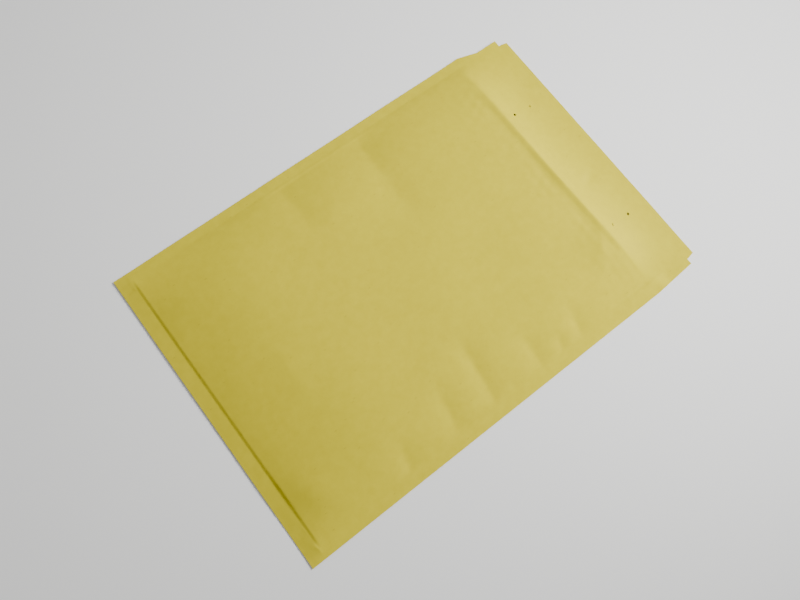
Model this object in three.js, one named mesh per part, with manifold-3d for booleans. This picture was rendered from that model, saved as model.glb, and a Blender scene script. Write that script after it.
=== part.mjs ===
// A padded mailing envelope, lying face up on a table with its flap open.
//
// Two kraft paper sheets, each lined with air-bubble film, are glued together along both long sides and
// the bottom. The front sheet is longer than the back one and carries on past the mouth as the flap, whose
// underside holds a band of adhesive under a release liner. Four punchings near the crease let it be clipped.
//
// Units are millimetres. +X runs across the width, +Y runs from the bottom seam to the free end of the flap
// and +Z is up. The origin is at the bottom centre of the whole envelope, on the surface that it lies on.

import * as THREE from "three";
import { mergeVertices } from "three/addons/utils/BufferGeometryUtils.js";
import Module from "manifold-3d";

const wasm = await Module();
wasm.setup();

// ---- driving dimensions ----

const WIDTH = 290; // across the bag, over both side seams
const BODY_LENGTH = 370; // bottom edge to flap crease, at mid-width
const FLAP_LENGTH = 57; // crease to free end, in plan
const MOUTH_MARGIN = 6.5; // back sheet's reach past the crease
const CREASE_SKEW = 0.015; // the crease rises towards +X by this slope: it was folded slightly out of square

const SIDE_BAND = 10; // flat glued band along each long side
const BOTTOM_BAND = 12; // flat glued band along the bottom
const BAND_LIFT = 2; // height of the bands' underside above the table, where they leave the bag
const BAND_DROOP = 1.4; // and how much lower it is at their outer edge

const PAPER = 0.15; // kraft sheet
const GLUE = 0.1; // seam glue and flap adhesive
const LINER = 0.08; // siliconised release paper
const CLEARANCE = 0.3; // between pieces that touch
const FILM = 3.2; // height of the bubble film where nothing presses it
const CRUSHED_FILM = 0.5; // and where the seams pinch it, if there is room
const FILM_SIDE_INSET = 4; // film edge to side band
const FILM_BOTTOM_INSET = 1.5; // film edge to bottom band
const FILM_MOUTH_INSET = 3.5; // film edge to crease
const SIDE_CRUSH = 40; // how far in from the side bands the film is pinched
const BOTTOM_CRUSH = 50; // the same from the bottom band
const LEAST_POCKET = 0.3; // free height between the films at the pocket's closed edges

const PINCHED_STACK = 1.5; // thickness of the whole bag just inside the bands
const SIDE_STEP = 9; // the bag reaches it over this distance from the side bands
const BOTTOM_STEP = 1.3; // and over this one from the bottom band, which makes a steep wall there
const CROWN = 8.4; // how much higher the bag's face is at mid-width
const SIDE_RISE = 56; // how far in from the side bands it reaches its full height
const BOTTOM_RISE = 95; // the same from the bottom band
const SETTLING = 26; // how far in from the bands the back sheet comes down onto the table
const RIDGE = 0.8; // the crease stands proud by this much
const RIDGE_REACH = 6; // and fades over this length of the body
const RIDGE_SPAN = 112; // and towards this distance from mid-width
const RIDGE_FADE = 28; // starting this far short of it
const FLAP_END_LIFT = 1.8; // height of the flap's free end
const FLAP_FALL = 2.9; // power of the flap's fall from crease to end: steep first, then nearly level

const SIDE_SAG = 1.3; // the long side at -X is drawn in by this much at mid-length
const FLAP_INSET_LEFT = 6.3; // the flap is narrower than the bag
const FLAP_INSET_RIGHT = 2.8;
const FLAP_TAPER_LEFT = 20; // length over which the side at -X draws in
const NOTCH_LENGTH = 6.6; // the flap's two end corners are cut back
const NOTCH_WIDTH_LEFT = 3;
const NOTCH_WIDTH_RIGHT = 4.2;
const NOTCH_SLANT = 1.4;

const PUNCH_RADIUS = 1.2;
const PUNCH_SPACING_X = 136.4;
const PUNCH_CENTRE_X = 4.3;
const PUNCH_ROWS = [11, 32]; // from the crease
const DISC_SHIFT = 0.55; // a disc still hanging in its punching leaves a crescent this wide

const ADHESIVE_START = 37; // from the crease
const ADHESIVE_WIDTH = 14;
const LINER_OVERLAP = 1.5; // the liner is wider than the adhesive by this much on each long edge
const STRIP_HALF_LENGTH = 131;

const SEAM_GLUE_WIDTH = 6;
const SEAM_GLUE_INSET = 2;

const TRIM_HEIGHT = 40; // of the blocks that trim the sheets, well over the envelope's thickness
const ROUND_SIDES = 20; // of a punching
const CURVE_STEPS = 16; // along the drawn-in side

// ---- derived places ----

const HALF_WIDTH = WIDTH / 2;
const HALF_LENGTH = (BODY_LENGTH + FLAP_LENGTH) / 2;
const BOTTOM_Y = -HALF_LENGTH;
const FLAP_END_Y = HALF_LENGTH;
const CREASE_Y = BOTTOM_Y + BODY_LENGTH;
const MOUTH_Y = CREASE_Y + MOUTH_MARGIN;
const BAND_X = HALF_WIDTH - SIDE_BAND;
const BAND_Y = BOTTOM_Y + BOTTOM_BAND;
const FILM_X = BAND_X - FILM_SIDE_INSET;
const FILM_Y = BAND_Y + FILM_BOTTOM_INSET;
const FILM_END_Y = CREASE_Y - FILM_MOUTH_INSET;
const FULL_X = BAND_X - SIDE_RISE; // the bag is at its full height out to here
const FULL_Y = BAND_Y + BOTTOM_RISE;
const STEPPED_X = BAND_X - SIDE_STEP;
const STEPPED_Y = BAND_Y + BOTTOM_STEP;
const BAND_STACK = 2 * PAPER + 2 * CLEARANCE + GLUE;

// ---- the envelope's lie: heights as functions of the place in plan ----

const clamp01 = (t) => Math.min(1, Math.max(0, t));
const easeOut = (t) => 1 - (1 - clamp01(t)) ** 2; // leaves at once, arrives level
const easeBoth = (t) => clamp01(t) ** 2 * (3 - 2 * clamp01(t)); // level at both ends

const creaseAt = (x) => CREASE_Y + CREASE_SKEW * x;
const insideSide = (x) => BAND_X - Math.abs(x);
const insideBottom = (y) => y - BAND_Y;

// How far out a place is on the bands: 0 at their inner edge and over the bag, 1 at the outer edge.
const outOnBands = (x, y) => clamp01(Math.max(-insideSide(x) / SIDE_BAND, -insideBottom(y) / BOTTOM_BAND));

function backUnderside(x, y) {
  const settled = easeBoth(insideSide(x) / SETTLING) * easeBoth(insideBottom(y) / SETTLING);
  return BAND_LIFT * (1 - settled) - BAND_DROOP * outOnBands(x, y);
}

// Top of the front sheet over the body. It leaves the bands with a short step up onto the films.
function bodyTop(x, y) {
  const edge = BAND_LIFT - BAND_DROOP * outOnBands(x, y) + BAND_STACK;
  const stepped = easeBoth(insideSide(x) / SIDE_STEP) * easeBoth(insideBottom(y) / BOTTOM_STEP);
  const risen = easeOut(insideSide(x) / SIDE_RISE) * easeOut(insideBottom(y) / BOTTOM_RISE);
  return edge + (PINCHED_STACK - BAND_STACK) * stepped + CROWN * risen;
}

// Each film has its free height, or half of the room that the sheets leave near the bands.
function filmHeight(x, y) {
  const freed = easeOut(insideSide(x) / SIDE_CRUSH) * easeOut(insideBottom(y) / BOTTOM_CRUSH);
  const room = bodyTop(x, y) - backUnderside(x, y) - 2 * (PAPER + CLEARANCE) - LEAST_POCKET;
  return Math.min(CRUSHED_FILM + (FILM - CRUSHED_FILM) * freed, room / 2);
}

// How proud the mountain fold stands: nothing on the body, growing towards the crease at mid-width.
function ridge(x, y) {
  const near = easeBoth(1 - (creaseAt(x) - y) / RIDGE_REACH);
  return RIDGE * near * easeBoth((RIDGE_SPAN - Math.abs(x)) / RIDGE_FADE);
}

function frontTop(x, y) {
  const crease = creaseAt(x);
  if (y <= crease) return bodyTop(x, y) + ridge(x, y);
  const start = bodyTop(x, crease) + ridge(x, crease);
  const along = clamp01((y - crease) / (FLAP_END_Y - crease));
  return FLAP_END_LIFT + (start - FLAP_END_LIFT) * (1 - along) ** FLAP_FALL;
}

// ---- building tools ----

// Places along an axis, from spans of [from, to, steps] that follow one another.
function stations(...spans) {
  const list = [spans[0][0]];
  for (const [from, to, steps] of spans) {
    for (let i = 1; i <= steps; i += 1) list.push(from + ((to - from) * i) / steps);
  }
  return list;
}

const mirrored = (half) => [...half.slice(1).reverse().map((x) => -x), ...half];

const SHEET_X = mirrored(
  stations([0, FULL_X, 3], [FULL_X, STEPPED_X, 6], [STEPPED_X, BAND_X, 3], [BAND_X, HALF_WIDTH, 1]),
);
const FILM_STATIONS_X = mirrored(stations([0, FULL_X, 3], [FULL_X, STEPPED_X, 6], [STEPPED_X, FILM_X, 2]));
const OVER_FILM_Y = [
  [STEPPED_Y, FILM_Y, 1],
  [FILM_Y, BAND_Y + SETTLING, 5],
  [BAND_Y + SETTLING, FULL_Y, 5],
  [FULL_Y, CREASE_Y - 2 * RIDGE_REACH, 4],
];
const BODY_Y = [[BOTTOM_Y, BAND_Y, 1], [BAND_Y, STEPPED_Y, 2], ...OVER_FILM_Y];
const FRONT_Y = stations(
  ...BODY_Y,
  [CREASE_Y - 2 * RIDGE_REACH, CREASE_Y, 6],
  [CREASE_Y, MOUTH_Y, 4],
  [MOUTH_Y, CREASE_Y + FLAP_LENGTH / 2, 5],
  [CREASE_Y + FLAP_LENGTH / 2, FLAP_END_Y, 4],
);
const BACK_Y = stations(...BODY_Y, [CREASE_Y - 2 * RIDGE_REACH, MOUTH_Y, 2]);
const FILM_STATIONS_Y = stations(...OVER_FILM_Y.slice(1), [CREASE_Y - 2 * RIDGE_REACH, FILM_END_Y, 3]);

// A three.js geometry as a manifold-3d solid.
function solidOf(geometry) {
  const bare = geometry.clone();
  bare.deleteAttribute("normal");
  bare.deleteAttribute("uv");
  const merged = mergeVertices(bare, 1e-4);
  return new wasm.Manifold(
    new wasm.Mesh({
      numProp: 3,
      vertProperties: new Float32Array(merged.attributes.position.array),
      triVerts: new Uint32Array(merged.index.array),
    }),
  );
}

// A box splits the cells of its underside along the other diagonal than those of its top. Turning them keeps
// stacked layers exactly parallel.
function matchDiagonals(box) {
  const underside = box.groups[5];
  for (let i = underside.start; i < underside.start + underside.count; i += 6) {
    const [a, b, d, , c] = Array.from(box.index.array.slice(i, i + 6));
    box.index.array.set([a, b, c, a, c, d], i);
  }
}

// A layer over a grid of stations, between two heights that are functions of x and y: a box with a cell
// for each station, whose corners are moved to their places.
function layer(xs, ys, lower, upper) {
  const box = new THREE.BoxGeometry(1, 1, 1, xs.length - 1, ys.length - 1, 1);
  matchDiagonals(box);
  const corner = box.attributes.position;
  for (let i = 0; i < corner.count; i += 1) {
    const x = xs[Math.round((corner.getX(i) + 0.5) * (xs.length - 1))];
    const y = ys[Math.round((corner.getY(i) + 0.5) * (ys.length - 1))];
    corner.setXYZ(i, x, y, corner.getZ(i) > 0 ? upper(x, y) : lower(x, y));
  }
  return solidOf(box);
}

// A plan outline as a tall block, to trim a layer with.
function block(shape) {
  const options = { depth: TRIM_HEIGHT, bevelEnabled: false, curveSegments: CURVE_STEPS };
  return solidOf(new THREE.ExtrudeGeometry(shape, options).translate(0, 0, -TRIM_HEIGHT / 4));
}

// A round block, to punch a layer with.
function upright(radius, x, y) {
  const geometry = new THREE.CylinderGeometry(radius, radius, TRIM_HEIGHT, ROUND_SIDES);
  return solidOf(geometry.rotateX(Math.PI / 2).translate(x, y, 0));
}

// A solid as a named mesh.
function piece(name, solid, material) {
  const { numProp, triVerts, vertProperties } = solid.getMesh();
  const geometry = new THREE.BufferGeometry();
  const places = new THREE.InterleavedBuffer(vertProperties, numProp);
  geometry.setAttribute("position", new THREE.InterleavedBufferAttribute(places, 3, 0));
  geometry.setIndex(new THREE.BufferAttribute(triVerts, 1));
  geometry.computeVertexNormals();
  const mesh = new THREE.Mesh(geometry, material);
  mesh.name = name;
  return mesh;
}

// ---- plan outlines ----

// The bag up to a given height in Y: the side at -X is drawn in at mid-length.
function startBag(topY) {
  const shape = new THREE.Shape();
  shape.moveTo(-HALF_WIDTH, BOTTOM_Y);
  shape.lineTo(HALF_WIDTH, BOTTOM_Y);
  shape.lineTo(HALF_WIDTH, topY);
  return shape;
}

function closeBag(shape, topY) {
  shape.lineTo(-HALF_WIDTH, topY);
  shape.quadraticCurveTo(-HALF_WIDTH + 2 * SIDE_SAG, (topY + BOTTOM_Y) / 2, -HALF_WIDTH, BOTTOM_Y);
  return shape;
}

function frontOutline() {
  const left = -HALF_WIDTH + FLAP_INSET_LEFT;
  const right = HALF_WIDTH - FLAP_INSET_RIGHT;
  const notchY = FLAP_END_Y - NOTCH_LENGTH;
  const shape = startBag(MOUTH_Y);
  shape.lineTo(right, notchY);
  shape.lineTo(right - NOTCH_WIDTH_RIGHT + NOTCH_SLANT, notchY);
  shape.lineTo(right - NOTCH_WIDTH_RIGHT, FLAP_END_Y);
  shape.lineTo(left + NOTCH_WIDTH_LEFT, FLAP_END_Y);
  shape.lineTo(left + NOTCH_WIDTH_LEFT - NOTCH_SLANT, notchY);
  shape.lineTo(left, notchY);
  shape.lineTo(left, MOUTH_Y + FLAP_TAPER_LEFT);
  return closeBag(shape, MOUTH_Y);
}

const backOutline = () => closeBag(startBag(MOUTH_Y), MOUTH_Y);

// One bead that runs down one side, across the bottom and up the other side.
function seamGlueOutline() {
  const outer = HALF_WIDTH - SIDE_SAG - SEAM_GLUE_INSET;
  const inner = outer - SEAM_GLUE_WIDTH;
  const low = BOTTOM_Y + SEAM_GLUE_INSET;
  const high = FILM_END_Y;
  const shape = new THREE.Shape();
  shape.moveTo(-outer, high);
  shape.lineTo(-outer, low);
  shape.lineTo(outer, low);
  shape.lineTo(outer, high);
  shape.lineTo(inner, high);
  shape.lineTo(inner, low + SEAM_GLUE_WIDTH);
  shape.lineTo(-inner, low + SEAM_GLUE_WIDTH);
  shape.lineTo(-inner, high);
  return shape;
}

// ---- the pieces ----

// The punchings: at each side one is open and the other keeps its disc, hanging by the paper at one side.
function punchings() {
  const [near, far] = PUNCH_ROWS;
  const cuts = [];
  for (const side of [-1, 1]) {
    const x = PUNCH_CENTRE_X + (side * PUNCH_SPACING_X) / 2;
    const openRow = side < 0 ? near : far;
    const hangingRow = side < 0 ? far : near;
    cuts.push(upright(PUNCH_RADIUS, x, creaseAt(x) + openRow));
    const hanging = upright(PUNCH_RADIUS, x, creaseAt(x) + hangingRow);
    cuts.push(hanging.subtract(upright(PUNCH_RADIUS, x, creaseAt(x) + hangingRow + DISC_SHIFT)));
  }
  return cuts;
}

function frontSheet() {
  const sheet = layer(SHEET_X, FRONT_Y, (x, y) => frontTop(x, y) - PAPER, frontTop);
  return punchings().reduce((made, cut) => made.subtract(cut), sheet.intersect(block(frontOutline())));
}

function backSheet() {
  const sheet = layer(SHEET_X, BACK_Y, backUnderside, (x, y) => backUnderside(x, y) + PAPER);
  return sheet.intersect(block(backOutline()));
}

function backFilm() {
  const floor = (x, y) => backUnderside(x, y) + PAPER + CLEARANCE;
  return layer(FILM_STATIONS_X, FILM_STATIONS_Y, floor, (x, y) => floor(x, y) + filmHeight(x, y));
}

function frontFilm() {
  const roof = (x, y) => bodyTop(x, y) - PAPER - CLEARANCE;
  return layer(FILM_STATIONS_X, FILM_STATIONS_Y, (x, y) => roof(x, y) - filmHeight(x, y), roof);
}

function seamGlue() {
  const floor = (x, y) => backUnderside(x, y) + PAPER + CLEARANCE;
  const bead = layer(SHEET_X, BACK_Y, floor, (x, y) => floor(x, y) + GLUE);
  return bead.intersect(block(seamGlueOutline()));
}

// A strip on the underside of the flap, a given depth below the sheet.
function flapStrip(start, width, depth, thickness) {
  const low = CREASE_Y + start;
  const xs = mirrored(stations([0, STRIP_HALF_LENGTH, 10]));
  const ys = stations([low, low + width, 3]);
  const top = (x, y) => frontTop(x, y) - PAPER - depth;
  return layer(xs, ys, (x, y) => top(x, y) - thickness, top);
}

const flapAdhesive = () => flapStrip(ADHESIVE_START, ADHESIVE_WIDTH, CLEARANCE, GLUE);

function releaseLiner() {
  const start = ADHESIVE_START - LINER_OVERLAP;
  return flapStrip(start, ADHESIVE_WIDTH + 2 * LINER_OVERLAP, 2 * CLEARANCE + GLUE, LINER);
}

const kraft = new THREE.MeshStandardMaterial({ color: 0xc8b865, roughness: 0.62, side: THREE.DoubleSide });
const film = new THREE.MeshStandardMaterial({ color: 0xe6ecee, roughness: 0.18 });
film.transparent = true;
film.opacity = 0.6;
const glue = new THREE.MeshStandardMaterial({ color: 0xe4dcb4, roughness: 0.3 });
const siliconePaper = new THREE.MeshStandardMaterial({ color: 0xf0ede2, roughness: 0.35 });

const envelope = new THREE.Group();
envelope.add(piece("front_sheet", frontSheet(), kraft));
envelope.add(piece("back_sheet", backSheet(), kraft));
envelope.add(piece("front_bubble_film", frontFilm(), film));
envelope.add(piece("back_bubble_film", backFilm(), film));
envelope.add(piece("seam_glue", seamGlue(), glue));
envelope.add(piece("flap_adhesive", flapAdhesive(), glue));
envelope.add(piece("release_liner", releaseLiner(), siliconePaper));

export default envelope;
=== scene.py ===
"""A padded mailing envelope, empty, lying face up on a pale floor with its flap open.

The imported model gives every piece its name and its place. This script gives each one its surface: two
kraft paper sheets with the folds and puckers that the filling and the seams press into them, the
air-bubble film inside, the seam glue, and the flap's adhesive under its release liner.

Shapes are worked out in millimetres over the plan of the envelope, in the frame's own axes: +X across the
width, +Y towards the flap's free end, +Z up. A mesh is scaled to metres once, when it is finished.
"""

import logging
import math
from collections.abc import Callable
from dataclasses import dataclass
from enum import Enum

import bmesh
import bpy
import numpy as np
from mathutils import Matrix, Vector


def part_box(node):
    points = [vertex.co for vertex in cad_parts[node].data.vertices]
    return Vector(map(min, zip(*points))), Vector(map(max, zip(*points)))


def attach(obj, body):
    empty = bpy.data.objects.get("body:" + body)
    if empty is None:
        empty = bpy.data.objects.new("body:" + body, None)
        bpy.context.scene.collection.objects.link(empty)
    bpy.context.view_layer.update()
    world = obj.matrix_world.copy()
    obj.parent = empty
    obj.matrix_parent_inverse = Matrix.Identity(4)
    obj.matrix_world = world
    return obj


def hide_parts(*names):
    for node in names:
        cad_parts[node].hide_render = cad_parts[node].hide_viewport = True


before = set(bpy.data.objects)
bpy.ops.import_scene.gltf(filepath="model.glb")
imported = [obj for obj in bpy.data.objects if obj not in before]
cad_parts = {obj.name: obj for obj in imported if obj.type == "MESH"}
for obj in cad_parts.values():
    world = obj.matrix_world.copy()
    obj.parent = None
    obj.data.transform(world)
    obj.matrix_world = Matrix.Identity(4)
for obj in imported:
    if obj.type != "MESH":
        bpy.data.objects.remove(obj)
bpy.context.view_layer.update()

log = logging.getLogger("padded_envelope")

MM = 0.001
BODY = "root"
CUT_TOLERANCE = 1e-4

Heights = Callable[[np.ndarray, np.ndarray], np.ndarray]


# ---- small curves that every shape is built from ----


def ease_out(t: np.ndarray) -> np.ndarray:
    """Return 0 to 1 for t from 0 to 1, leaving at once and arriving level."""
    return 1 - (1 - np.clip(t, 0, 1)) ** 2


def ease_both(t: np.ndarray) -> np.ndarray:
    """Return 0 to 1 for t from 0 to 1, level at both ends."""
    s = np.clip(t, 0, 1)
    return s * s * (3 - 2 * s)


def graded(start: float, *stretches: tuple[float, float]) -> np.ndarray:
    """Space out grid lines, closer together where the surface turns quickly.

    Args:
        start: The first line's place.
        stretches: The end of each stretch and the spacing of the lines along it.

    Returns:
        The places of all the lines, in order.
    """
    lines = [start]
    for end, spacing in stretches:
        steps = max(1, round((end - lines[-1]) / spacing))
        lines.extend(np.linspace(lines[-1], end, steps + 1)[1:].tolist())
    return np.array(lines)


def both_ways(half: np.ndarray) -> np.ndarray:
    """Return lines from zero outwards together with their mirror image."""
    return np.concatenate([-half[:0:-1], half])


def wander(x: np.ndarray, y: np.ndarray, size: float, seed: int) -> np.ndarray:
    """Work out a smooth unevenness.

    Args:
        x: The places in X.
        y: The places in Y.
        size: The size of its swells.
        seed: The seed of its draws.

    Returns:
        Its height at each place, from about -1 to 1.
    """
    dice = np.random.default_rng(seed)
    waves = 9
    turns = math.pi * (np.arange(waves) + dice.uniform(0, 1, waves)) / waves
    lengths = 2 * size * dice.uniform(0.7, 1.5, waves)
    starts = dice.uniform(0, 2 * math.pi, waves)
    swells = (
        np.sin(2 * math.pi * (x * math.cos(turn) + y * math.sin(turn)) / length + start)
        for turn, length, start in zip(turns, lengths, starts)
    )
    return sum(swells) / math.sqrt(waves * 2)


# ---- folds in the paper ----


class Fold(Enum):
    """Which way a fold in the paper stands."""

    VALLEY = -1.0
    RIDGE = 1.0


@dataclass(frozen=True)
class Crease:
    """A fold that dies out along its length, with slopes that run off to both sides.

    Attributes:
        fold: Which way it stands.
        start: Where it begins, in plan.
        end: Where it dies out, in plan.
        depth: How far it stands off the sheet.
        reach: How far its slopes run, to its left and to its right seen from its start.
        spread: How much further they run at its end than at its start, as a share.
        rounding: The radius of its bottom or crest, at its start and at its end.
        swell: The share of its length over which it deepens, from its start.
        fade: The share of its length over which it dies out, before its end.
    """

    fold: Fold
    start: tuple[float, float]
    end: tuple[float, float]
    depth: float
    reach: tuple[float, float] = (8.0, 8.0)
    spread: float = 0.5
    rounding: tuple[float, float] = (0.8, 3.0)
    swell: float = 0.15
    fade: float = 0.6

    def heights(self, x: np.ndarray, y: np.ndarray) -> np.ndarray:
        """Work out the fold, strongest along its line and dying out to its sides and its end.

        Args:
            x: The places in X.
            y: The places in Y.

        Returns:
            How far the fold lifts the sheet at each place.
        """
        along = np.subtract(self.end, self.start)
        length = float(np.hypot(*along))
        unit = along / length
        across = (x - self.start[0]) * -unit[1] + (y - self.start[1]) * unit[0]
        t = ((x - self.start[0]) * unit[0] + (y - self.start[1]) * unit[1]) / length
        inside = np.clip(t, 0, 1)
        reach = np.where(across > 0, *self.reach) * (1 + self.spread * inside)
        rounding = self.rounding[0] + (self.rounding[1] - self.rounding[0]) * inside
        off = np.hypot(across, rounding) - rounding
        strength = ease_both(t / self.swell) * ease_both((1 - t) / self.fade)
        return self.fold.value * self.depth * strength * np.exp(-off / reach)


@dataclass(frozen=True)
class Dent:
    """A soft oval hollow or swelling.

    Attributes:
        fold: Which way it stands.
        centre: Its middle, in plan.
        radii: How far it reaches along its own two axes.
        depth: How far it stands off the sheet.
        turn: How far its first axis is turned from +X, in degrees.
    """

    fold: Fold
    centre: tuple[float, float]
    radii: tuple[float, float]
    depth: float
    turn: float = 0.0

    def heights(self, x: np.ndarray, y: np.ndarray) -> np.ndarray:
        """Work out the dent, deepest in its middle.

        Args:
            x: The places in X.
            y: The places in Y.

        Returns:
            How far the dent lifts the sheet at each place.
        """
        c = math.cos(math.radians(self.turn))
        s = math.sin(math.radians(self.turn))
        dx = x - self.centre[0]
        dy = y - self.centre[1]
        u = (dx * c + dy * s) / self.radii[0]
        v = (dy * c - dx * s) / self.radii[1]
        return self.fold.value * self.depth * np.exp(-(u * u + v * v))


# ---- how the envelope lies ----


@dataclass(frozen=True)
class Lie:
    """The plan of the envelope and how high each of its layers lies.

    Attributes:
        half_width: From mid-width to the long edges.
        bottom_y: The bottom edge.
        mouth_y: The free edge of the back sheet.
        flap_end_y: The free edge of the flap.
        mouth_margin: How far the back sheet runs on past the flap's fold.
        crease_skew: How far the flap's fold is out of square, as a slope.
        side_band: The width of the glued sides.
        bottom_band: The width of the glued bottom.
        band_lift: How high the glued bands are held off the table at their inner edges.
        band_droop: How much lower they are at their outer edges.
        paper: The thickness of a kraft sheet.
        glue: The thickness of the glue.
        liner: The thickness of the release liner.
        film: The height of a bubble film.
        crushed_film: The height of a film at the seams.
        thinnest_film: The least height of a film under a fold.
        side_crush: How far in from the side bands a film has its full height.
        bottom_crush: How far in from the bottom band it has.
        pinched: The height of all the layers just inside the seams.
        least_pocket: What is always left between the layers that can move.
        mouth_ramp: The length past the mouth over which the flap comes free.
        side_step: The width of the step up from the side bands.
        side_overlap: How far onto the side bands that step reaches.
        bottom_step: The width of the step up from the bottom band.
        crown: The height of the swell in the middle.
        side_rise: How far in from the side bands the swell is full.
        bottom_rise: How far in from the bottom band it is.
        settling: How far in from the seams the back sheet lies on the table.
        ridge: The height of the flap's mountain fold.
        ridge_reach: How far onto the body the fold reaches.
        ridge_span: From mid-width to the ends of the fold.
        ridge_fade: The length over which it dies out there.
        flap_end_lift: The height of the flap's free edge.
        flap_fall: How steeply the flap falls from its fold: 1 is straight.
        fold_rounding: The radius of the fold at mid-width and at its ends.
    """

    half_width: float
    bottom_y: float
    mouth_y: float
    flap_end_y: float
    mouth_margin: float = 6.5
    crease_skew: float = 0.015
    side_band: float = 10.0
    bottom_band: float = 12.0
    band_lift: float = 2.0
    band_droop: float = 1.3
    paper: float = 0.15
    glue: float = 0.1
    liner: float = 0.08
    film: float = 3.5
    crushed_film: float = 0.8
    thinnest_film: float = 0.04
    side_crush: float = 40.0
    bottom_crush: float = 50.0
    pinched: float = 1.0
    least_pocket: float = 0.3
    mouth_ramp: float = 18.0
    side_step: float = 13.0
    side_overlap: float = 4.0
    bottom_step: float = 3.2
    crown: float = 8.7
    side_rise: float = 56.0
    bottom_rise: float = 95.0
    settling: float = 26.0
    ridge: float = 0.6
    ridge_reach: float = 6.0
    ridge_span: float = 106.0
    ridge_fade: float = 28.0
    flap_end_lift: float = 1.8
    flap_fall: float = 2.7
    fold_rounding: tuple[float, float] = (0.8, 6.0)

    @property
    def crease_y(self) -> float:
        """Return where the flap's crease crosses mid-width."""
        return self.mouth_y - self.mouth_margin

    def crease_at(self, x: np.ndarray) -> np.ndarray:
        """Return the place of the crease, which is a little out of square."""
        return self.crease_y + self.crease_skew * x

    def inside_side(self, x: np.ndarray) -> np.ndarray:
        """Return the distance in from the glued side bands."""
        return self.half_width - self.side_band - np.abs(x)

    def inside_bottom(self, y: np.ndarray) -> np.ndarray:
        """Return the distance in from the glued bottom band."""
        return y - (self.bottom_y + self.bottom_band)

    def out_on_bands(self, x: np.ndarray, y: np.ndarray) -> np.ndarray:
        """Work out how far out on the glued bands each place is.

        Args:
            x: The places in X.
            y: The places in Y.

        Returns:
            0 inside the bands and 1 at the outer edges, rounded over where two bands meet.
        """
        side = np.clip(-self.inside_side(x) / self.side_band, 0, 1)
        bottom = np.clip(-self.inside_bottom(y) / self.bottom_band, 0, 1)
        return 1 - (1 - side) * (1 - bottom)

    def back_underside(self, x: np.ndarray, y: np.ndarray) -> np.ndarray:
        """Lay the back sheet's underside on the table, and lift it where the seams hold it.

        Args:
            x: The places in X.
            y: The places in Y.

        Returns:
            The height, which is 0 on the table.
        """
        side = self.inside_side(x)
        bottom = self.inside_bottom(y)
        settled = ease_both(side / self.settling) * ease_both(bottom / self.settling)
        return self.band_lift * (1 - settled) - self.band_droop * self.out_on_bands(x, y)

    def body_top(self, x: np.ndarray, y: np.ndarray) -> np.ndarray:
        """Swell the front sheet's upper face over the body, before its folds.

        Args:
            x: The places in X.
            y: The places in Y.

        Returns:
            The height.
        """
        band = 2 * self.paper + self.glue
        side = self.inside_side(x)
        bottom = self.inside_bottom(y)
        stepped = ease_both((side + self.side_overlap) / self.side_step)
        stepped *= ease_both(bottom / self.bottom_step)
        risen = ease_out(side / self.side_rise) * ease_out(bottom / self.bottom_rise)
        edge = self.band_lift - self.band_droop * self.out_on_bands(x, y) + band
        return edge + (self.pinched - band) * stepped + self.crown * risen

    def film_height(self, x: np.ndarray, y: np.ndarray) -> np.ndarray:
        """Work out the height of one bubble film, which the seams crush, if there is room for it.

        Args:
            x: The places in X.
            y: The places in Y.

        Returns:
            The height.
        """
        from_side = ease_out(self.inside_side(x) / self.side_crush)
        from_bottom = ease_out(self.inside_bottom(y) / self.bottom_crush)
        return self.crushed_film + (self.film - self.crushed_film) * from_side * from_bottom

    def ridge_height(self, x: np.ndarray, y: np.ndarray) -> np.ndarray:
        """Return how proud the flap's mountain fold stands off the body."""
        near = ease_both(1 - (self.crease_at(x) - y) / self.ridge_reach)
        return self.ridge * near * ease_both((self.ridge_span - np.abs(x)) / self.ridge_fade)

    def front_top(self, x: np.ndarray, y: np.ndarray) -> np.ndarray:
        """Lay the front sheet's upper face over the body and down the flap, before its folds.

        Args:
            x: The places in X.
            y: The places in Y.

        Returns:
            The height.
        """
        crease = self.crease_at(x)
        on_body = self.body_top(x, y) + self.ridge_height(x, y)
        start = self.body_top(x, crease) + self.ridge_height(x, crease)
        middle, ends = self.fold_rounding
        rounding = middle + (ends - middle) * (x / self.half_width) ** 2
        past_fold = np.hypot(np.maximum(y - crease, 0), rounding) - rounding
        left = 1 - past_fold / (self.flap_end_y - crease)
        on_flap = self.flap_end_lift + (start - self.flap_end_lift) * left**self.flap_fall
        return np.where(y <= crease, on_body, on_flap)

    def room_below(self, x: np.ndarray, y: np.ndarray) -> np.ndarray:
        """Work out how far the front sheet can sink.

        Args:
            x: The places in X.
            y: The places in Y.

        Returns:
            The way down to the back sheet or, past the mouth, to the table.
        """
        past_mouth = ease_both((y - self.mouth_y) / self.mouth_ramp)
        ground = (self.back_underside(x, y) + self.paper) * (1 - past_mouth)
        return self.front_top(x, y) - self.paper - ground - self.least_pocket


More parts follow.
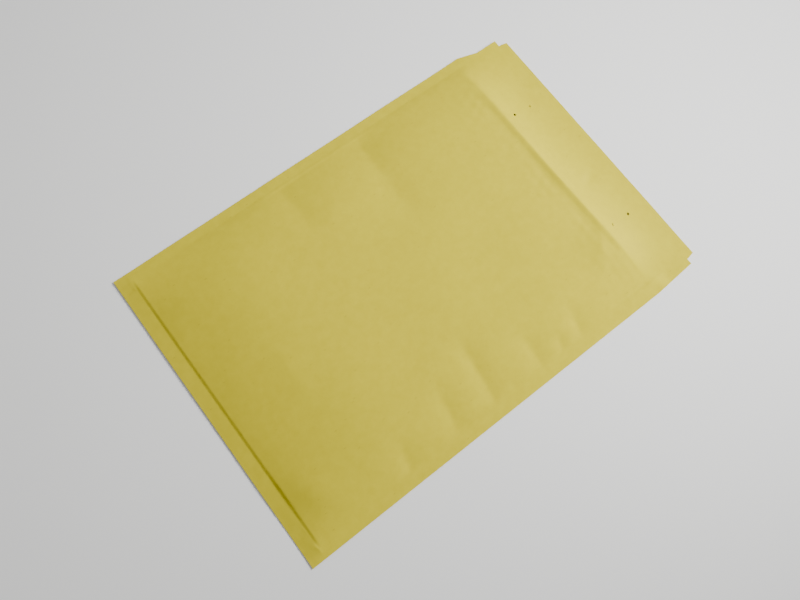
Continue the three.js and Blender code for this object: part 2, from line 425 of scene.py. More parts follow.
@dataclass(frozen=True)
class Relief:
    """The lie with everything that is pressed and pulled into the paper.

    Attributes:
        lie: How the layers lie before they are folded or puckered.
        creases: The folds of the front sheet and of the film behind it.
        dents: The soft hollows and swellings of the same.
        band_creases: The creases through all the layers of the seams.
        imprint_size: The pitch of the bubbles that print through the paper.
        imprint: The height of their print over the body.
        mouth_imprint: What is added to it beside the mouth.
        mouth_reach: How far from the flap's fold the print is strongest, and how far it spreads.
        patch_size: The size of the patches in which the print shows.
        patchiness: The print's usual strength, and how much it swings over the patches.
        body_wander: The height and the size of the body's unevenness.
        flap_wander: The height and the size of the flap's unevenness.
        band_wander: The height and the size of the seams' unevenness.
        wave_limit: The most that the seams wander, as a multiple of that height.
        seam_edge: The distance from the seams over which folds begin.
        calm_edge: The distance from the seams over which the unevenness begins.
        calm_fold: The distance from the flap's fold over which it begins on the body.
        flap_edge: The distance from the flap's fold over which it begins on the flap.
        band_end: The distance from the mouth over which the seams' waves die out.
        least_room: The room that a valley is always given.
    """

    lie: Lie
    creases: tuple[Crease, ...]
    dents: tuple[Dent, ...]
    band_creases: tuple[Crease | Dent, ...]
    imprint_size: float = 11.0
    imprint: float = 0.02
    mouth_imprint: float = 0.17
    mouth_reach: float = 16.0
    patch_size: float = 22.0
    patchiness: tuple[float, float] = (0.6, 0.5)
    body_wander: tuple[float, float] = (0.34, 40.0)
    flap_wander: tuple[float, float] = (0.12, 26.0)
    band_wander: tuple[float, float] = (0.13, 34.0)
    wave_limit: float = 1.5
    seam_edge: float = 4.0
    calm_edge: float = 25.0
    calm_fold: float = 8.0
    flap_edge: float = 10.0
    band_end: float = 12.0
    least_room: float = 0.05

    def bands(self, x: np.ndarray, y: np.ndarray) -> np.ndarray:
        """Wave and crease the seams.

        Args:
            x: The places in X.
            y: The places in Y.

        Returns:
            How far all their layers are lifted.
        """
        lie = self.lie
        side = ease_both(-lie.inside_side(x) / lie.side_band)
        bottom = ease_both(-lie.inside_bottom(y) / lie.bottom_band)
        height, size = self.band_wander
        uneven = np.clip(wander(x, y, size, seed=5), -self.wave_limit, self.wave_limit)
        wave = height * np.maximum(side, bottom) * uneven
        creased = sum(crease.heights(x, y) for crease in self.band_creases)
        return (wave + creased) * ease_both((lie.mouth_y - y) / self.band_end)

    def bubble_print(self, x: np.ndarray, y: np.ndarray) -> np.ndarray:
        """Press the bubbles faintly through the paper, most of all beside the mouth.

        Args:
            x: The places in X.
            y: The places in Y.

        Returns:
            How far the print lifts the sheet.
        """
        wave = 2 * math.pi / (self.imprint_size * math.sqrt(3) / 2)
        turns = [math.radians(90 + 60 * i) for i in range(3)]
        lattice = sum(np.cos(wave * (x * math.cos(a) + y * math.sin(a))) for a in turns) / 3
        mouth = np.exp(-(((y - self.lie.crease_y) / self.mouth_reach + 1) ** 2))
        usual, swing = self.patchiness
        patchy = usual + swing * wander(x, y, self.patch_size, seed=11)
        return lattice * patchy * (self.imprint + self.mouth_imprint * mouth)

    def film_height(self, x: np.ndarray, y: np.ndarray) -> np.ndarray:
        """Squash one bubble film under the folds.

        Args:
            x: The places in X.
            y: The places in Y.

        Returns:
            The height.
        """
        lie = self.lie
        room = self.front_top(x, y) - self.back_underside(x, y) - 2 * lie.paper
        return np.clip((room - lie.least_pocket) / 2, lie.thinnest_film, lie.film_height(x, y))

    def _held_up(self, folds: np.ndarray, room: np.ndarray) -> np.ndarray:
        """Return the folds, with the valleys kept from going deeper than the room under them."""
        floor = np.maximum(room, self.least_room)
        return np.where(folds < 0, floor * np.tanh(folds / floor), folds)

    def back_underside(self, x: np.ndarray, y: np.ndarray) -> np.ndarray:
        """Return the height of the back sheet's underside."""
        return self.lie.back_underside(x, y) + self.bands(x, y)

    def front_top(self, x: np.ndarray, y: np.ndarray) -> np.ndarray:
        """Fold, pucker and print the front sheet.

        Args:
            x: The places in X.
            y: The places in Y.

        Returns:
            The height of its upper face.
        """
        lie = self.lie
        beyond = y - lie.crease_at(x)
        side = lie.inside_side(x)
        bottom = lie.inside_bottom(y)
        off_bands = ease_both(side / self.seam_edge) * ease_both(bottom / self.seam_edge)
        free = np.maximum(off_bands, ease_both((y - lie.mouth_y) / lie.mouth_ramp))
        inner = ease_both(side / self.calm_edge) * ease_both(bottom / self.calm_edge)
        body_height, body_size = self.body_wander
        flap_height, flap_size = self.flap_wander
        on_body = body_height * wander(x, y, body_size, seed=3) + self.bubble_print(x, y)
        on_flap = flap_height * wander(x, y, flap_size, seed=8)
        uneven = on_body * ease_both(-beyond / self.calm_fold) * inner
        uneven += on_flap * ease_both(beyond / self.flap_edge)
        folds = sum(fold.heights(x, y) for fold in (*self.creases, *self.dents))
        shaped = self._held_up(folds + uneven, lie.room_below(x, y)) * free
        return lie.front_top(x, y) + shaped + self.bands(x, y)


# ---- colours and finishes ----


def srgb(code: str) -> tuple[float, float, float, float]:
    """Turn an sRGB hex code into a linear colour.

    Args:
        code: Six hex digits after a hash.

    Returns:
        Red, green, blue and an alpha of 1.
    """
    parts = [int(code[i : i + 2], 16) / 255 for i in (1, 3, 5)]
    linear = [p / 12.92 if p <= 0.04045 else ((p + 0.055) / 1.055) ** 2.4 for p in parts]
    return (*linear, 1.0)


def per_metre(size_mm: float) -> float:
    """Return the texture scale, in Object coordinates, of a pattern of this real size."""
    return 1 / (size_mm * MM)


def add_node(tree: bpy.types.NodeTree, kind: str, settings: dict, links: dict) -> bpy.types.Node:
    """Add a shader node with its settings and links.

    Args:
        tree: The material's node tree.
        kind: The node's type.
        settings: Values by name: of an input socket if the node has one, or else of a property.
        links: The output socket that feeds each input, by the input's name or number.

    Returns:
        The node.
    """
    node = tree.nodes.new(kind)
    for name, value in settings.items():
        if isinstance(name, str) and hasattr(node, name):
            setattr(node, name, value)
        else:
            node.inputs[name].default_value = value
    for name, output in links.items():
        tree.links.new(output, node.inputs[name])
    return node


def new_material(name: str) -> tuple[bpy.types.Material, bpy.types.NodeTree, bpy.types.NodeSocket]:
    """Start a material with nothing in it but object coordinates.

    Args:
        name: The material's name.

    Returns:
        The material, its tree and the socket that gives Object coordinates.
    """
    material = bpy.data.materials.new(name)
    material.use_nodes = True
    tree = material.node_tree
    tree.nodes.clear()
    coordinates = add_node(tree, "ShaderNodeTexCoord", {}, {})
    return material, tree, coordinates.outputs["Object"]


def over_noise(low: float, high: float) -> dict:
    """Return the settings of a Map Range node that spreads the middle of a noise over this range."""
    return {"From Min": 0.3, "From Max": 0.7, "To Min": low, "To Max": high}


def finish_material(tree: bpy.types.NodeTree, settings: dict, links: dict) -> None:
    """Add the shader with its settings and links, and join it to the output."""
    shader = add_node(tree, "ShaderNodeBsdfPrincipled", settings, links)
    add_node(tree, "ShaderNodeOutputMaterial", {}, {"Surface": shader.outputs["BSDF"]})


@dataclass(frozen=True)
class KraftPaper:
    """Machine-glazed kraft paper, unbleached, 80 g/m2.

    Long softwood fibres lie mostly along the web, in soft clouds a few millimetres across. One side is
    polished on a steam-heated cylinder, which gives the paper its low, broad shine.
    """

    name: str = "machine_glazed_kraft_paper"
    mid: str = "#CEBF2A"
    pale: str = "#D3C42D"
    dark: str = "#CABA27"
    fleck: str = "#9A8230"
    sheen: str = "#D4C23C"
    cloud_mm: float = 7.0
    # real fibres are about 0.03 mm wide: they are drawn coarser, as bundles, so that they show
    fibre_mm: float = 0.9
    fibre_stretch: float = 0.22
    fleck_mm: float = 5.0
    roughness: tuple[float, float] = (0.46, 0.6)
    bump_mm: float = 0.02

    def material(self) -> bpy.types.Material:
        """Mix the paper from clouds, fibres and flecks, with an uneven shine and a fine relief.

        Returns:
            The material.
        """
        material, tree, place = new_material(self.name)
        clouds = add_node(
            tree,
            "ShaderNodeTexNoise",
            {"Scale": per_metre(self.cloud_mm), "Detail": 4.0, "Roughness": 0.6},
            {"Vector": place},
        )
        stretch = {"Scale": (1, self.fibre_stretch, 1)}
        along_web = add_node(tree, "ShaderNodeMapping", stretch, {"Vector": place})
        fibres = add_node(
            tree,
            "ShaderNodeTexNoise",
            {"Scale": per_metre(self.fibre_mm), "Detail": 3.0, "Roughness": 0.65, "Distortion": 0.6},
            {"Vector": along_web.outputs["Vector"]},
        )
        cells = add_node(
            tree,
            "ShaderNodeTexVoronoi",
            {"Scale": per_metre(self.fleck_mm), "Randomness": 1.0},
            {"Vector": along_web.outputs["Vector"]},
        )
        tint = add_node(tree, "ShaderNodeMapRange", over_noise(0.0, 1.0), {"Value": clouds.outputs["Fac"]})
        clouded = add_node(
            tree,
            "ShaderNodeMix",
            {"data_type": "RGBA", 6: srgb(self.dark), 7: srgb(self.pale)},
            {0: tint.outputs["Result"]},
        )
        strand = add_node(
            tree,
            "ShaderNodeMapRange",
            {"From Min": 0.38, "From Max": 0.62, "To Min": 0.0, "To Max": 0.55},
            {"Value": fibres.outputs["Fac"]},
        )
        fibred = add_node(
            tree,
            "ShaderNodeMix",
            {"data_type": "RGBA", 7: srgb(self.mid)},
            {0: strand.outputs["Result"], 6: clouded.outputs[2]},
        )
        speck = add_node(
            tree,
            "ShaderNodeMapRange",
            {"From Min": 0.035, "From Max": 0.07, "To Min": 0.45, "To Max": 0.0},
            {"Value": cells.outputs["Distance"]},
        )
        flecked = add_node(
            tree,
            "ShaderNodeMix",
            {"data_type": "RGBA", 7: srgb(self.fleck)},
            {0: speck.outputs["Result"], 6: fibred.outputs[2]},
        )
        shine = add_node(
            tree, "ShaderNodeMapRange", over_noise(*self.roughness), {"Value": clouds.outputs["Fac"]}
        )
        relief = add_node(
            tree,
            "ShaderNodeBump",
            {"Strength": 0.5, "Distance": self.bump_mm * MM},
            {"Height": fibres.outputs["Fac"]},
        )
        finish_material(
            tree,
            {"IOR": 1.5, "Specular IOR Level": 0.1, "Specular Tint": srgb(self.sheen)},
            {
                "Base Color": flecked.outputs[2],
                "Roughness": shine.outputs["Result"],
                "Normal": relief.outputs["Normal"],
            },
        )
        return material


@dataclass(frozen=True)
class BubbleFilm:
    """Low-density polyethylene film, blown and vacuum-formed into air bubbles: clear, soft and glossy."""

    name: str = "ldpe_bubble_film"
    tint: str = "#EAF0F1"
    cloud_mm: float = 3.0
    roughness: tuple[float, float] = (0.12, 0.26)
    opacity: float = 0.45
    bump_mm: float = 0.05

    def material(self) -> bpy.types.Material:
        """Make the film clear, with a soft ripple in its shine.

        Returns:
            The material.
        """
        material, tree, place = new_material(self.name)
        ripple = add_node(
            tree,
            "ShaderNodeTexNoise",
            {"Scale": per_metre(self.cloud_mm), "Detail": 2.0},
            {"Vector": place},
        )
        shine = add_node(
            tree, "ShaderNodeMapRange", over_noise(*self.roughness), {"Value": ripple.outputs["Fac"]}
        )
        relief = add_node(
            tree,
            "ShaderNodeBump",
            {"Strength": 0.4, "Distance": self.bump_mm * MM},
            {"Height": ripple.outputs["Fac"]},
        )
        finish_material(
            tree,
            {"Base Color": srgb(self.tint), "IOR": 1.51, "Alpha": self.opacity},
            {"Roughness": shine.outputs["Result"], "Normal": relief.outputs["Normal"]},
        )
        return material


@dataclass(frozen=True)
class Adhesive:
    """Hot-melt rubber adhesive: straw-coloured, wet-looking and faintly ribbed by the nozzle."""

    name: str = "hot_melt_adhesive"
    thin: str = "#E9DFB4"
    thick: str = "#D9C98D"
    rib_mm: float = 1.6
    stretch: float = 0.12
    roughness: float = 0.22
    bump_mm: float = 0.06

    def material(self) -> bpy.types.Material:
        """Colour and rib the adhesive along the way that the nozzle went.

        Returns:
            The material.
        """
        material, tree, place = new_material(self.name)
        drawn_out = add_node(tree, "ShaderNodeMapping", {"Scale": (self.stretch, 1, 1)}, {"Vector": place})
        ribs = add_node(
            tree,
            "ShaderNodeTexNoise",
            {"Scale": per_metre(self.rib_mm), "Detail": 2.0},
            {"Vector": drawn_out.outputs["Vector"]},
        )
        colour = add_node(
            tree,
            "ShaderNodeMix",
            {"data_type": "RGBA", 6: srgb(self.thin), 7: srgb(self.thick)},
            {0: ribs.outputs["Fac"]},
        )
        relief = add_node(
            tree,
            "ShaderNodeBump",
            {"Strength": 0.6, "Distance": self.bump_mm * MM},
            {"Height": ribs.outputs["Fac"]},
        )
        finish_material(
            tree,
            {"IOR": 1.48, "Roughness": self.roughness},
            {"Base Color": colour.outputs[2], "Normal": relief.outputs["Normal"]},
        )
        return material


@dataclass(frozen=True)
class ReleasePaper:
    """Glassine release paper with a silicone coat: dense, cloudy and smooth, with an even shine."""

    name: str = "siliconised_glassine"
    pale: str = "#F4F1E6"
    dark: str = "#E6E1D0"
    cloud_mm: float = 2.5
    roughness: tuple[float, float] = (0.28, 0.38)

    def material(self) -> bpy.types.Material:
        """Cloud the liner in colour and shine.

        Returns:
            The material.
        """
        material, tree, place = new_material(self.name)
        clouds = add_node(
            tree,
            "ShaderNodeTexNoise",
            {"Scale": per_metre(self.cloud_mm), "Detail": 4.0, "Roughness": 0.6},
            {"Vector": place},
        )
        colour = add_node(
            tree,
            "ShaderNodeMix",
            {"data_type": "RGBA", 6: srgb(self.dark), 7: srgb(self.pale)},
            {0: clouds.outputs["Fac"]},
        )
        shine = add_node(
            tree, "ShaderNodeMapRange", over_noise(*self.roughness), {"Value": clouds.outputs["Fac"]}
        )
        finish_material(
            tree, {"IOR": 1.46}, {"Base Color": colour.outputs[2], "Roughness": shine.outputs["Result"]}
        )
        return material


@dataclass(frozen=True)
class MattFloor:
    """Matt painted board: near white and even."""

    name: str = "matt_painted_floor"
    colour: str = "#F4F4F2"
    grain_mm: float = 1.5

    def material(self) -> bpy.types.Material:
        """Make the floor plain, with a fine grain in its shine.

        Returns:
            The material.
        """
        material, tree, place = new_material(self.name)
        grain = add_node(tree, "ShaderNodeTexNoise", {"Scale": per_metre(self.grain_mm)}, {"Vector": place})
        shine = add_node(
            tree, "ShaderNodeMapRange", {"To Min": 0.85, "To Max": 0.95}, {"Value": grain.outputs["Fac"]}
        )
        finish_material(tree, {"Base Color": srgb(self.colour)}, {"Roughness": shine.outputs["Result"]})
        return material


# ---- making meshes ----


def station_grid(columns: np.ndarray, rows: np.ndarray) -> bmesh.types.BMesh:
    """Make a flat grid whose lines lie at the given places.

    Args:
        columns: The lines' places in X.
        rows: The lines' places in Y.

    Returns:
        The grid, in millimetres.
    """
    bm = bmesh.new()
    last_column = len(columns) - 1
    last_row = len(rows) - 1
    bmesh.ops.create_grid(bm, x_segments=last_column, y_segments=last_row, size=1.0)
    for vertex in bm.verts:
        column = round((vertex.co.x + 1) / 2 * last_column)
        row = round((vertex.co.y + 1) / 2 * last_row)
        vertex.co = (columns[column], rows[row], 0.0)
    return bm


def lay_on(bm: bmesh.types.BMesh, heights: Heights) -> None:
    """Add the height at each vertex's place in plan to its own height.

    Args:
        bm: The mesh, in millimetres.
        heights: Gives the height at each place in plan.
    """
    places = np.array([vertex.co[:2] for vertex in bm.verts])
    for vertex, height in zip(bm.verts, heights(places[:, 0], places[:, 1])):
        vertex.co.z += float(height)


def thicken_down(bm: bmesh.types.BMesh, thickness: float) -> None:
    """Give a single sheet a closed underside.

    Args:
        bm: The sheet.
        thickness: How far below it the underside lies.
    """
    upper = list(bm.faces)
    made = bmesh.ops.extrude_face_region(bm, geom=upper)["geom"]
    raised = [item for item in made if isinstance(item, bmesh.types.BMVert)]
    below = set(bm.verts) - set(raised)
    bmesh.ops.translate(bm, verts=list(below), vec=(0, 0, -thickness))
    bmesh.ops.recalc_face_normals(bm, faces=list(bm.faces))


def to_object(bm: bmesh.types.BMesh, name: str, sharp_degrees: float = 50.0) -> bpy.types.Object:
    """Turn a finished bmesh in millimetres into an object at the origin, in metres.

    Args:
        bm: The bmesh, which is freed.
        name: The object's name.
        sharp_degrees: Edges that turn further than this stay sharp.

    Returns:
        The object, linked to the scene.
    """
    bmesh.ops.scale(bm, vec=(MM, MM, MM), verts=list(bm.verts))
    mesh = bpy.data.meshes.new(name)
    bm.to_mesh(mesh)
    bm.free()
    mesh.shade_smooth()
    mesh.set_sharp_from_angle(angle=math.radians(sharp_degrees))
    piece = bpy.data.objects.new(name, mesh)
    bpy.context.scene.collection.objects.link(piece)
    return piece


def join_frame(piece: bpy.types.Object, node: str, material: bpy.types.Material) -> None:
    """Let a piece stand for a CAD node, take its material and ride with the body.

    Args:
        piece: The finished piece.
        node: The CAD node that it replaces.
        material: Its material.
    """
    piece.data.materials.append(material)
    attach(piece, BODY)
    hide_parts(node)
    log.info("%s: %d faces", piece.name, len(piece.data.polygons))


# ---- the pieces ----


@dataclass(frozen=True)
class Punching:
    """A round hole in the flap, or one whose disc still hangs in it by the paper at one side.

    Attributes:
        x: Its place in X.
        from_crease: Its distance from the flap's fold.
        hanging: Whether its disc still hangs in it.
        radius: Its radius.
        corners: The number of straight cuts that its outline is made of.
        disc_shift: How far a hanging disc is pushed towards the paper that holds it.
        margin: The distance from its middle within which faces are cut.
    """

    x: float
    from_crease: float
    hanging: bool
    radius: float = 1.2
    corners: int = 16
    disc_shift: float = 0.75
    margin: float = 2.4

    def cut(self, bm: bmesh.types.BMesh, lie: Lie) -> None:
        """Cut the hole, or the crescent beside its disc, out of a flat sheet.

        Args:
            bm: The sheet.
            lie: The envelope's lie, which says where the fold is.
        """
        y = float(lie.crease_at(np.array(self.x))) + self.from_crease
        round_hole = self._score(bm, Vector((self.x, y, 0)))
        hole = [face for face in bm.faces if round_hole(face)]
        if self.hanging:
            round_disc = self._score(bm, Vector((self.x, y + self.disc_shift, 0)))
            hole = [face for face in bm.faces if round_hole(face) and not round_disc(face)]
        bmesh.ops.delete(bm, geom=hole, context="FACES")

    def _score(self, bm: bmesh.types.BMesh, centre: Vector) -> Callable[[bmesh.types.BMFace], bool]:
        """Score a round outline into the sheet.

        Args:
            bm: The sheet.
            centre: The middle of the outline.

        Returns:
            A test of whether a face lies inside the outline.
        """
        turns = [2 * math.pi * i / self.corners for i in range(self.corners)]
        normals = [Vector((math.cos(turn), math.sin(turn), 0)) for turn in turns]
        for normal in normals:
            near = [face for face in bm.faces if (face.calc_center_median() - centre).length < self.margin]
            edges = {edge for face in near for edge in face.edges}
            verts = {vertex for face in near for vertex in face.verts}
            bmesh.ops.bisect_plane(
                bm,
                geom=[*near, *edges, *verts],
                dist=CUT_TOLERANCE,
                plane_co=centre + normal * self.radius,
                plane_no=normal,
            )

        def inside(face: bmesh.types.BMFace) -> bool:
            """Return whether the middle of a face lies inside all the cuts."""
            away = face.calc_center_median() - centre
            return all(away.dot(normal) < self.radius for normal in normals)

        return inside


@dataclass(frozen=True)
class FrontSheet:
    """The upper kraft sheet: the body's face and the whole flap.

    Attributes:
        relief: How high it lies.
        punchings: The punchings beside the flap's fold.
        side_sag: How far the side at -X is drawn in at mid-length.
        flap_inset_left: How much further in the flap's side at -X lies.
        flap_inset_right: How much further in its side at +X lies.
        flap_taper_left: The length over which the side at -X draws in.
        notch_length: The length of the notches at the flap's end corners.
        notch_width_left: The width of the notch at -X.
        notch_width_right: The width of the notch at +X.
        notch_slant: How much narrower the notches are at their inner ends.
        draw_in_width: The width beside each edge that moves with it.
    """

    relief: Relief
    punchings: tuple[Punching, ...]
    side_sag: float = 1.3
    flap_inset_left: float = 6.3
    flap_inset_right: float = 2.8
    flap_taper_left: float = 20.0
    notch_length: float = 6.6
    notch_width_left: float = 3.0
    notch_width_right: float = 4.2
    notch_slant: float = 1.4
    draw_in_width: float = 45.0

    def _draw_in(self, bm: bmesh.types.BMesh) -> None:
        """Draw the side at -X in at mid-length, and both sides of the flap in past the mouth.

        Args:
            bm: The flat sheet.
        """
        lie = self.relief.lie
        notch_y = lie.flap_end_y - self.notch_length
        for vertex in bm.verts:
            x, y = vertex.co.x, vertex.co.y
            share = min(max((y - lie.bottom_y) / (lie.mouth_y - lie.bottom_y), 0), 1)
            left = 4 * self.side_sag * share * (1 - share)
            left += self.flap_inset_left * min(max((y - lie.mouth_y) / self.flap_taper_left, 0), 1)
            right = self.flap_inset_right * min(max((y - lie.mouth_y) / (notch_y - lie.mouth_y), 0), 1)
            near = max(0.0, (abs(x) - lie.half_width + self.draw_in_width) / self.draw_in_width)
            vertex.co.x += near * (left if x < 0 else -right)

    def _notch(self, bm: bmesh.types.BMesh) -> None:
        """Cut back the two corners of the flap's end.

        Args:
            bm: The flat sheet.
        """
        lie = self.relief.lie
        notch_y = lie.flap_end_y - self.notch_length
        left = self.flap_inset_left + self.notch_width_left
        right = self.flap_inset_right + self.notch_width_right
        for side, cut in {-1: left, 1: right}.items():
            corner = side * (lie.half_width - cut)
            centres = ((face, face.calc_center_median()) for face in bm.faces)
            geom = [face for face, centre in centres if centre.y > notch_y and centre.x * side > 0]
            edges = {edge for face in geom for edge in face.edges}
            verts = {vertex for face in geom for vertex in face.verts}
            bmesh.ops.bisect_plane(
                bm,
                geom=[*geom, *edges, *verts],
                dist=CUT_TOLERANCE,
                plane_co=(corner, lie.flap_end_y, 0),
                plane_no=(side * self.notch_length, self.notch_slant, 0),
                clear_outer=True,
            )

    def build(self) -> bpy.types.Object:
        """Cut, shape and thicken the sheet.

        Returns:
            The sheet.
        """
        lie = self.relief.lie
        columns = both_ways(graded(0.0, (88, 2.0), (126, 1.6), (138, 0.9), (lie.half_width, 1.4)))
        band_y = lie.bottom_y + lie.bottom_band
        rows = graded(
            lie.bottom_y,
            (band_y - 1, 1.4),
            (band_y + 3, 0.34),
            (band_y + 9, 0.75),
            (lie.crease_y - 14, 2.0),
            (lie.crease_y + 8, 0.7),
            (lie.flap_end_y - self.notch_length, 1.7),
            (lie.flap_end_y, 1.6),
        )
        bm = station_grid(columns, rows)
        self._notch(bm)
        for punching in self.punchings:
            punching.cut(bm, lie)
        self._draw_in(bm)
        lay_on(bm, self.relief.front_top)
        thicken_down(bm, lie.paper)
        return to_object(bm, "kraft_front_sheet")


@dataclass(frozen=True)
class BackSheet:
    """The lower kraft sheet, which lies flat inside the seams.

    Attributes:
        relief: How high it lies.
    """

    relief: Relief

    def build(self) -> bpy.types.Object:
        """Shape and thicken the sheet.

        Returns:
            The sheet.
        """
        lie = self.relief.lie
        columns = both_ways(graded(0.0, (100, 5.0), (lie.half_width, 1.8)))
        rows = graded(lie.bottom_y, (lie.bottom_y + 42, 1.8), (lie.mouth_y, 5.0))
        bm = station_grid(columns, rows)
        lay_on(bm, lambda x, y: self.relief.back_underside(x, y) + lie.paper)
        thicken_down(bm, lie.paper)
        return to_object(bm, "kraft_back_sheet")


class BubbleSide(Enum):
    """Which way the bubbles of a film stand: towards the paper that they cushion."""

    UP = 1.0
    DOWN = -1.0


@dataclass(frozen=True)
class BubbleLining:
    """One of the two air-bubble films: a flat film against the pocket and bubbles against the paper.

    Attributes:
        relief: What it lies against.
        side: Which way its bubbles stand.
        half_width: From mid-width to its long edges.
        low_y: Its edge by the bottom seam.
        high_y: Its edge by the mouth.
        pitch: The distance from bubble to bubble.
        bubble_radius: The radius of a bubble at its foot.
        wall: The share of its height up to which it is upright.
        shoulder: The share of its radius where it turns over.
        shoulder_height: The share of its height there.
        crown: The share of its radius where its top begins.
        segments: The number of sides of a bubble.
        web: The thickness of the flat film.
    """

    relief: Relief
    side: BubbleSide
    half_width: float
    low_y: float
    high_y: float
    pitch: float = 11.0
    bubble_radius: float = 4.8
    wall: float = 0.55
    shoulder: float = 0.82
    shoulder_height: float = 0.9
    crown: float = 0.4
    segments: int = 10
    web: float = 0.12

    def _bubble(self) -> bmesh.types.BMesh:
        """Draw one bubble up from a disc at the origin.

        Returns:
            The closed bubble, with a height of 1.
        """
        bm = bmesh.new()
        bmesh.ops.create_circle(bm, cap_ends=True, segments=self.segments, radius=self.bubble_radius)
        profile = ((1.0, self.wall), (self.shoulder, self.shoulder_height), (self.crown, 1.0))
        top = list(bm.faces)
        for radius_share, height in profile:
            made = bmesh.ops.extrude_face_region(bm, geom=top)["geom"]
            ring = [item for item in made if isinstance(item, bmesh.types.BMVert)]
            for vertex in ring:
                flat = Vector((vertex.co.x, vertex.co.y)).normalized() * self.bubble_radius * radius_share
                vertex.co = (flat.x, flat.y, height)
            top = [item for item in made if isinstance(item, bmesh.types.BMFace)]
        bmesh.ops.recalc_face_normals(bm, faces=list(bm.faces))
        return bm

    def _lattice(self, bm: bmesh.types.BMesh) -> None:
        """Repeat the bubble at the origin over the film, in rows offset by half a pitch.

        Args:
            bm: The mesh, with just the bubble at the origin.
        """
        row_gap = self.pitch * math.sqrt(3) / 2
        across = int((2 * self.half_width - 2 * self.bubble_radius) / self.pitch)
        up = int((self.high_y - self.low_y - 2 * self.bubble_radius) / row_gap) + 1
        single = [*bm.verts, *bm.edges, *bm.faces]
        for i in range(1, across):
            self._copy(bm, single, (self.pitch * i, 0, 0))
        row = [*bm.verts, *bm.edges, *bm.faces]
        for j in range(1, up):
            self._copy(bm, row, (self.pitch / 2 * (j % 2), row_gap * j, 0))
        span_x = self.pitch * (across - 0.5)
        span_y = row_gap * (up - 1)
        start = (-span_x / 2, (self.low_y + self.high_y - span_y) / 2, 0)
        bmesh.ops.translate(bm, verts=list(bm.verts), vec=start)

    @staticmethod
    def _copy(bm: bmesh.types.BMesh, geom: list, shift: tuple[float, float, float]) -> None:
        """Copy part of a bmesh to a place beside it."""
        made = bmesh.ops.duplicate(bm, geom=geom)["geom"]
        bmesh.ops.translate(bm, verts=[v for v in made if isinstance(v, bmesh.types.BMVert)], vec=shift)

    def _settle(self, bm: bmesh.types.BMesh) -> None:
        """Turn heights from 0 to 1 into the film's real heights between the paper and the pocket.

        Args:
            bm: The film, 1 high.
        """
        lie = self.relief.lie
        places = np.array([vertex.co[:] for vertex in bm.verts])
        x, y, share = places[:, 0], places[:, 1], places[:, 2]
        height = self.relief.film_height(x, y)
        if self.side is BubbleSide.UP:
            level = self.relief.front_top(x, y) - lie.paper - height * (1 - share)
        else:
            level = self.relief.back_underside(x, y) + lie.paper + height * (1 - share)
        for vertex, z in zip(bm.verts, level):
            vertex.co.z = float(z)

    def build(self) -> bpy.types.Object:
        """Join the flat film and its bubbles, and lay them in.

        Returns:
            The film.
        """
        columns = both_ways(graded(0.0, (self.half_width - 30, 12.0), (self.half_width, 3.0)))
        rows = graded(self.low_y, (self.low_y + 12, 2.0), (self.low_y + 60, 8.0), (self.high_y, 12.0))
        film = station_grid(columns, rows)
        thicken_down(film, self.web / self.relief.lie.film)
        film_mesh = bpy.data.meshes.new("film_web")
        film.to_mesh(film_mesh)
        film.free()
        bm = self._bubble()
        self._lattice(bm)
        bm.from_mesh(film_mesh)
        bpy.data.meshes.remove(film_mesh)
        self._settle(bm)
        if self.side is BubbleSide.DOWN:
            bmesh.ops.reverse_faces(bm, faces=list(bm.faces))
        return to_object(bm, f"bubble_film_{self.side.name.lower()}", 70.0)


@dataclass(frozen=True)
class SeamGlue:
    """The bead that joins the two sheets down one side, across the bottom and up the other side.

    Attributes:
        relief: What it lies against.
        half_width: From mid-width to its outer edges.
        low_y: Its outer edge at the bottom.
        high_y: Its ends by the mouth.
        width: Its width.
    """

    relief: Relief
    half_width: float
    low_y: float
    high_y: float
    width: float = 6.0

    def build(self) -> bpy.types.Object:
        """Lay the bead on the back sheet.

        Returns:
            The bead.
        """
        lie = self.relief.lie
        inner = self.half_width - self.width
        columns = both_ways(graded(0.0, (inner, 3.0), (self.half_width, 1.5)))
        rows = graded(self.low_y, (self.low_y + self.width, 1.5), (self.high_y, 3.0))
        bm = station_grid(columns, rows)
        centres = ((face, face.calc_center_median()) for face in bm.faces)
        open_middle = [f for f, c in centres if abs(c.x) < inner and c.y > self.low_y + self.width]
        bmesh.ops.delete(bm, geom=open_middle, context="FACES")
        lay_on(bm, lambda x, y: self.relief.back_underside(x, y) + lie.paper + lie.glue)
        thicken_down(bm, lie.glue)
        return to_object(bm, "seam_glue_bead")


@dataclass(frozen=True)
class FlapStrip:
    """A strip under the flap that follows the flap's own shape.

    Attributes:
        name: Its name.
        relief: What it lies against.
        half_length: From mid-width to its ends.
        low_y: Its edge by the flap's fold.
        high_y: Its edge by the flap's end.
        depth: How far below the paper it begins.
        thickness: Its thickness.
    """

    name: str
    relief: Relief
    half_length: float
    low_y: float
    high_y: float
    depth: float
    thickness: float

    def build(self) -> bpy.types.Object:
        """Shape and thicken the strip.

        Returns:
            The strip.
        """
        columns = both_ways(graded(0.0, (self.half_length, 3.0)))
        rows = graded(self.low_y, (self.high_y, 1.75))
        bm = station_grid(columns, rows)
        cover = self.relief.lie.paper + self.depth
        lay_on(bm, lambda x, y: self.relief.front_top(x, y) - cover)
        thicken_down(bm, self.thickness)
        return to_object(bm, self.name)


# ---- the studio ----


